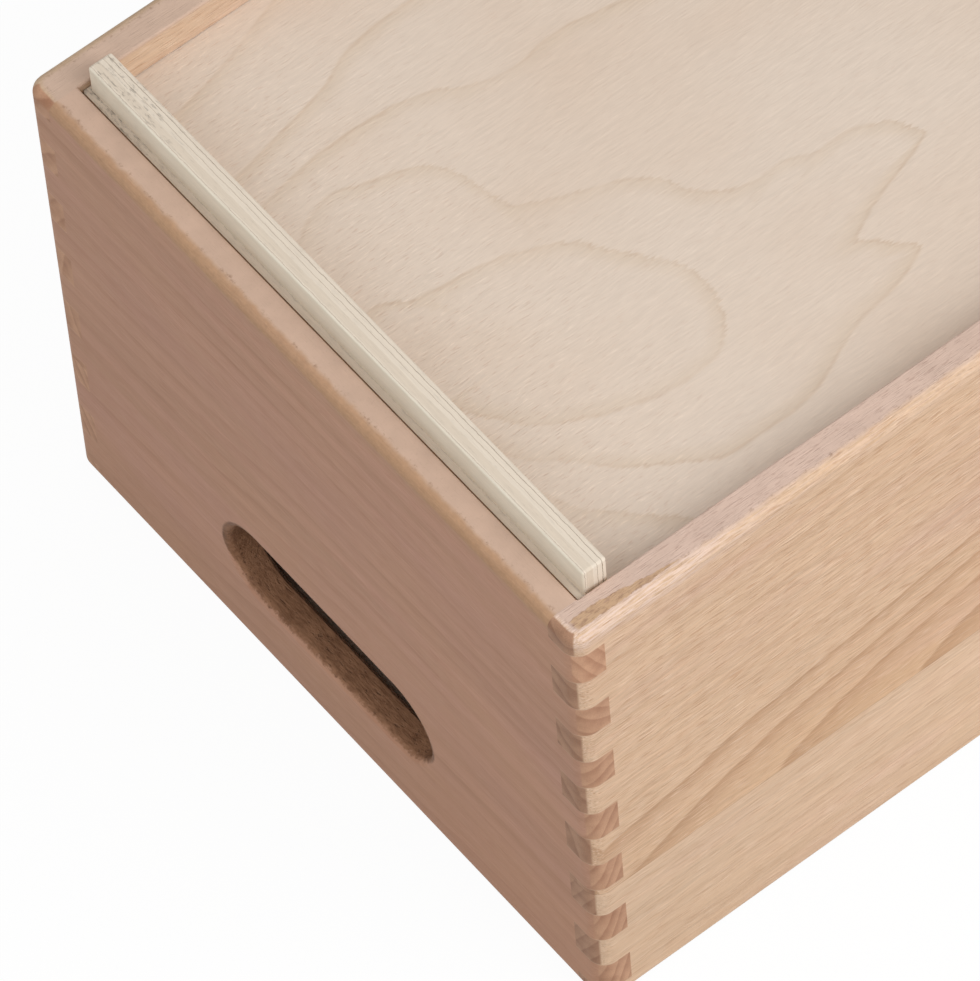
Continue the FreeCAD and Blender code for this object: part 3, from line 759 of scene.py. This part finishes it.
def batten_finish(name):
    """Make the batten's finish: plies seen on edge above, a smooth ply in front.

    Dark flecks and specks gather at the left end, and painted shade lines the crease at the foot.
    """
    batten = Finish(name)
    depth_of_grip = BATTEN_HIGH.x - BATTEN_LOW.x - GRIP_STEP
    ripple = batten.noise((3, 4, 3), 151, detail=4, roughness=0.6) * 0.42
    waver = batten.noise((30, 30, 30), 150) * 0.16 + ripple
    depth = batten.x - BATTEN_LOW.x - GRIP_STEP + waver
    plies = batten.steps((depth / depth_of_grip).at_least(0), [
        (0.000, CREAM_PLY),
        (0.075, GLUE_PLY),
        (0.090, CREAM_PLY),
        (0.140, CORE_PLY),
        (0.420, CREAM_PLY),
        (0.590, GLUE_PLY),
        (0.610, CREAM_PLY),
        (0.800, DARK_PLY),
        (0.822, CREAM_PLY),
    ])
    on_top = batten.nz.rise(0.3, 0.8)
    from_left = BATTEN_HIGH.y - batten.y
    rough = from_left.fall(15, 60) * 0.82 + 0.18
    streak = batten.noise((0.6, 16, 16), 152, detail=3, roughness=0.6)
    fleck = batten.noise((0.9, 5.0, 1.2), 153, detail=4, roughness=0.75).rise(0.05, 0.34) * rough
    fibre = batten.noise((12, 14, 0.7), 154, detail=3, roughness=0.6)
    patch = batten.noise((30, 24, 14), 155).rise(-0.5, 0.5)
    # The front face is a clean pale ply, made lighter still as painted light on this shaded side.
    face = batten.shade(batten.blend(patch, GREY_PLY, PALE_PLY), 0.97 + fibre * 0.09)
    colour = batten.shade(batten.blend(on_top * 0.40, plies, CORE_PLY), 1 - on_top * 0.04)
    colour = batten.shade(colour, 1 + streak * 0.12 - fleck * 0.40)
    colour = batten.blend(batten.nx.fall(-0.75, -0.35), colour, face)

    foot_top = BATTEN_LOW.z + FOOT_HEIGHT
    on_foot = batten.z.near(foot_top, 0.6) * batten.nz.rise(0.6, 0.9)
    specks = batten.noise((0.9, 3.4, 1.0), 156, detail=4, roughness=0.75).rise(0.0, 0.4)
    # Painted shade: a thin dark line on the foot's top where it meets the grip's front face.
    painted_crevice_shade = (batten.x + waver * 3).near(BATTEN_LOW.x + GRIP_STEP, 0.5)
    colour = batten.shade(colour, 1 - on_foot * (specks * rough * 0.50 + painted_crevice_shade * 0.15))
    return batten.close(colour, streak * 0.05 - fleck * 0.10, roughness=0.6, specular=0.25)


def screw_steel(name):
    """Make satin zinc with a fine turned grain round each screw's own axis."""
    metal = Finish(name)
    grain = metal.noise((0.5, 0.5, 0.06), 170, detail=2)
    dull = metal.noise((3, 3, 3), 171, detail=2)
    colour = metal.blend(dull.rise(-0.5, 0.5), display(196, 196, 190), display(168, 166, 158))
    return metal.close(colour, grain * 0.02, roughness=0.34 + dull * 0.08, specular=0.5,
                       metallic=1.0)


# ------------------------------------------------------------------ floor, light and camera

def white_ground(name):
    """Make a floor that is white to the eye and keeps a faint shadow of the box."""
    paper_for_light = 0.50
    paper_for_eye = 0.95
    glow_for_eye = 0.95
    material = bpy.data.materials.new(name)
    material.use_nodes = True
    tree = material.node_tree
    tree.nodes.clear()
    path = tree.nodes.new("ShaderNodeLightPath")
    seen = tree.nodes.new("ShaderNodeMath")
    seen.operation = "MAXIMUM"
    tree.links.new(path.outputs["Is Camera Ray"], seen.inputs[0])
    tree.links.new(path.outputs["Is Glossy Ray"], seen.inputs[1])
    tone = tree.nodes.new("ShaderNodeMapRange")
    tone.inputs["To Min"].default_value = paper_for_light
    tone.inputs["To Max"].default_value = paper_for_eye
    tree.links.new(seen.outputs[0], tone.inputs["Value"])
    paper = tree.nodes.new("ShaderNodeBsdfDiffuse")
    tree.links.new(tone.outputs["Result"], paper.inputs["Color"])
    glow = tree.nodes.new("ShaderNodeEmission")
    glow.inputs["Strength"].default_value = 1.0
    share = tree.nodes.new("ShaderNodeMath")
    share.operation = "MULTIPLY"
    share.inputs[1].default_value = glow_for_eye
    tree.links.new(seen.outputs[0], share.inputs[0])
    mix = tree.nodes.new("ShaderNodeMixShader")
    tree.links.new(share.outputs[0], mix.inputs[0])
    tree.links.new(paper.outputs[0], mix.inputs[1])
    tree.links.new(glow.outputs[0], mix.inputs[2])
    output = tree.nodes.new("ShaderNodeOutputMaterial")
    tree.links.new(mix.outputs[0], output.inputs["Surface"])
    return material


def lay_floor():
    """Lay a wide level floor under the box."""
    reach = 6.0
    mesh = bpy.data.meshes.new("floor")
    corners = [(-reach, -reach, 0), (reach, -reach, 0), (reach, reach, 0), (-reach, reach, 0)]
    mesh.from_pydata(corners, [], [(0, 1, 2, 3)])
    floor = bpy.data.objects.new("floor", mesh)
    bpy.context.scene.collection.objects.link(floor)
    mesh.materials.append(white_ground("white_ground"))


def light_world(strength):
    """Light the box evenly from all round, and show plain white behind it."""
    world = bpy.data.worlds.new("studio")
    world.use_nodes = True
    tree = world.node_tree
    tree.nodes.clear()
    around = tree.nodes.new("ShaderNodeBackground")
    around.inputs["Strength"].default_value = strength
    white = tree.nodes.new("ShaderNodeBackground")
    white.inputs["Strength"].default_value = 1.0
    for background in (around, white):
        background.inputs["Color"].default_value = (1, 1, 1, 1)
    path = tree.nodes.new("ShaderNodeLightPath")
    seen = tree.nodes.new("ShaderNodeMath")
    seen.operation = "MAXIMUM"
    tree.links.new(path.outputs["Is Camera Ray"], seen.inputs[0])
    tree.links.new(path.outputs["Is Transmission Ray"], seen.inputs[1])
    mix = tree.nodes.new("ShaderNodeMixShader")
    tree.links.new(seen.outputs[0], mix.inputs[0])
    tree.links.new(around.outputs[0], mix.inputs[1])
    tree.links.new(white.outputs[0], mix.inputs[2])
    output = tree.nodes.new("ShaderNodeOutputWorld")
    tree.links.new(mix.outputs[0], output.inputs["Surface"])
    bpy.context.scene.world = world


def hang_softbox(name, place, aim, side, power):
    """Hang a square soft light at a place and point it at an aim."""
    lamp = bpy.data.lights.new(name, "AREA")
    lamp.size = side
    lamp.energy = power
    softbox = bpy.data.objects.new(name, lamp)
    softbox.location = place
    facing = Vector(aim) - Vector(place)
    softbox.rotation_euler = facing.to_track_quat("-Z", "Y").to_euler()
    bpy.context.scene.collection.objects.link(softbox)


def set_camera(aim, azimuth, elevation, roll, distance, lens):
    """Look at an aim from an azimuth and elevation, turned about the line of sight by roll."""
    turn, tilt, lean = (math.radians(angle) for angle in (azimuth, elevation, roll))
    back = Vector((math.sin(turn) * math.cos(tilt), -math.cos(turn) * math.cos(tilt),
                   math.sin(tilt)))
    level = Vector((math.cos(turn), math.sin(turn), 0))
    up = back.cross(level)
    right = level * math.cos(lean) + up * math.sin(lean)
    axes = Matrix((right, back.cross(right), back)).transposed()
    camera_data = bpy.data.cameras.new("camera")
    camera_data.lens = lens
    camera_data.clip_end = 50
    camera = bpy.data.objects.new("camera", camera_data)
    camera.matrix_world = Matrix.Translation(Vector(aim) + back * distance) @ axes.to_4x4()
    bpy.context.scene.collection.objects.link(camera)
    bpy.context.scene.camera = camera


# ------------------------------------------------------------------ the scene

def give(node, material):
    """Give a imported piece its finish."""
    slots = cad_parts[node].data.materials
    slots.clear()
    slots.append(material)


for board_name, board in BOARDS.items():
    give(board_name, beech(f"beech_{board_name}", **board))
give("lid_panel", plywood("birch_lid", LID_LOW, LID_HIGH, 130, lid_figure))
give("floor_panel", plywood("birch_floor", FLOOR_LOW, FLOOR_HIGH, 140, floor_figure))
give("grip_batten", batten_finish("batten_plies"))
give("batten_screws", screw_steel("screw_steel"))

BOX_MIDDLE = (0, 0, 0.15)
SOFTBOX_SIDE = 1.8
lay_floor()
light_world(strength=0.56)
hang_softbox("key_softbox", (0.70, -1.94, 1.76), BOX_MIDDLE, SOFTBOX_SIDE, power=38.5)
hang_softbox("fill_softbox", (-1.75, -0.50, 1.95), BOX_MIDDLE, SOFTBOX_SIDE, power=14)
set_camera(aim=(-0.140027, -0.020584, 0.115), azimuth=-33.835, elevation=56.471, roll=-5.483,
           distance=3.94627, lens=421.29)

bpy.context.scene.view_settings.view_transform = "Standard"
